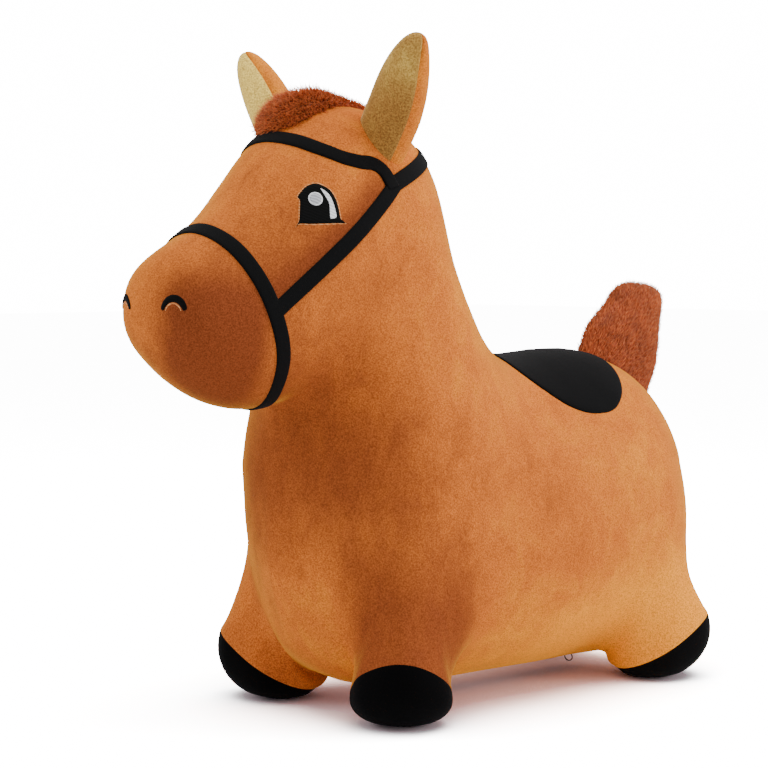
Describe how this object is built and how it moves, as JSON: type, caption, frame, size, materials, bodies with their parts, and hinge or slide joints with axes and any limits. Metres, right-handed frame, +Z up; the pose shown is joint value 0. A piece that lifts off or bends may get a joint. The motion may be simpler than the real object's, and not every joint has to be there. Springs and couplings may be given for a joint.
{
  "type": "bouncy ride on horse",
  "caption": "Air filled ride on horse for a small child: sewn plush cover over a vinyl bladder, four soft hooves, ribbon bridle, rocking ears and tail, belly zip.",
  "frame": {"origin": "on the floor, under the middle of the horse's length and width", "axes": "+X to the horse's left, -Y ahead of its nose, +Z up"},
  "size_m": [0.2594, 0.613, 0.5617],
  "materials": {
    "black_nylon": "moulded nylon",
    "black_plush": "short pile plush",
    "black_ribbon": "woven ribbon",
    "black_thread": "satin stitch",
    "clear_vinyl": "soft vinyl",
    "cotton_filling": "loose fibre",
    "dark_metal": "dark plating",
    "grey_thread": "satin stitch",
    "khaki_plush": "short pile plush",
    "orange_plush": "short pile plush",
    "russet_fur": "long pile faux fur",
    "white_plastic": "soft plastic",
    "white_thread": "satin stitch"
  },
  "bodies": {
    "trunk": {"torso_cover": "orange_plush", "neck_cover": "orange_plush", "head_cover": "orange_plush", "muzzle_cover": "orange_plush", "leg_cover_front_left": "orange_plush", "leg_cover_front_right": "orange_plush", "leg_cover_hind_left": "orange_plush", "leg_cover_hind_right": "orange_plush", "noseband": "black_ribbon", "headstall": "black_ribbon", "browband": "black_ribbon", "seat_patch": "black_plush", "forelock": "russet_fur", "mane": "russet_fur", "eye_patch_left": "black_thread", "eye_patch_right": "black_thread", "eye_highlight_left": "grey_thread", "eye_highlight_right": "grey_thread", "eye_crescent_left": "white_thread", "eye_crescent_right": "white_thread", "nostril_left": "black_thread", "nostril_right": "black_thread", "zip_coil_left": "black_nylon", "zip_coil_right": "black_nylon", "zip_tape_left": "black_ribbon", "zip_tape_right": "black_ribbon", "zip_stop_front": "dark_metal", "zip_stop_rear": "dark_metal", "air_bladder": "clear_vinyl", "valve_seat": "clear_vinyl"},
    "hoof_front_left_cap": {"hoof_front_left": "black_plush"},
    "hoof_front_right_cap": {"hoof_front_right": "black_plush"},
    "hoof_hind_left_cap": {"hoof_hind_left": "black_plush"},
    "hoof_hind_right_cap": {"hoof_hind_right": "black_plush"},
    "ear_left": {"ear_front_left": "khaki_plush", "ear_back_left": "orange_plush", "ear_stuffing_left": "cotton_filling"},
    "ear_right": {"ear_front_right": "khaki_plush", "ear_back_right": "orange_plush", "ear_stuffing_right": "cotton_filling"},
    "tail": {"tail_fur_cover": "russet_fur", "tail_stuffing": "cotton_filling"},
    "slider": {"zip_slider": "dark_metal"},
    "ring_pull": {"zip_pull": "dark_metal"},
    "plug": {"valve_plug": "white_plastic"}
  },
  "joints": [
    {"name": "hoof_front_left_press", "type": "slide", "parent": "trunk", "child": "hoof_front_left_cap", "axis": [0, 0, 1], "range_m": [0, 0.01], "stiffness_N_per_m": 4000, "springref_m": -0.002, "deforming": ["leg_cover_front_left", "air_bladder"]},
    {"name": "hoof_front_right_press", "type": "slide", "parent": "trunk", "child": "hoof_front_right_cap", "axis": [0, 0, 1], "range_m": [0, 0.01], "stiffness_N_per_m": 4000, "springref_m": -0.002, "deforming": ["leg_cover_front_right", "air_bladder"]},
    {"name": "hoof_hind_left_press", "type": "slide", "parent": "trunk", "child": "hoof_hind_left_cap", "axis": [0, 0, 1], "range_m": [0, 0.01], "stiffness_N_per_m": 4000, "springref_m": -0.002, "deforming": ["leg_cover_hind_left", "air_bladder"]},
    {"name": "hoof_hind_right_press", "type": "slide", "parent": "trunk", "child": "hoof_hind_right_cap", "axis": [0, 0, 1], "range_m": [0, 0.01], "stiffness_N_per_m": 4000, "springref_m": -0.002, "deforming": ["leg_cover_hind_right", "air_bladder"]},
    {"name": "ear_left_flex", "type": "hinge", "parent": "trunk", "child": "ear_left", "pos_m": [0.06118, -0.11392, 0.48766], "axis": [0.8013, 0.2079, -0.561], "range_deg": [-18, 18], "stiffness_Nm_per_rad": 0.08},
    {"name": "ear_right_flex", "type": "hinge", "parent": "trunk", "child": "ear_right", "pos_m": [-0.06118, -0.11392, 0.48766], "axis": [0.8013, -0.2079, 0.561], "range_deg": [-18, 18], "stiffness_Nm_per_rad": 0.08},
    {"name": "tail_wag", "type": "hinge", "parent": "trunk", "child": "tail", "pos_m": [0, 0.25396, 0.29702], "axis": [0, 0.8988, -0.4384], "range_deg": [-20, 20], "stiffness_Nm_per_rad": 0.3},
    {"name": "zip_slide", "type": "slide", "parent": "trunk", "child": "slider", "axis": [0, -1, 0], "range_m": [0, 0.161]},
    {"name": "zip_pull_swing", "type": "hinge", "parent": "slider", "child": "ring_pull", "pos_m": [0, 0.18324, 0.0127], "axis": [1, 0, 0], "range_deg": [-80, 80]},
    {"name": "valve_plug_pull", "type": "slide", "parent": "trunk", "child": "plug", "axis": [0, 0, -1], "range_m": [0, 0.009]}
  ]
}
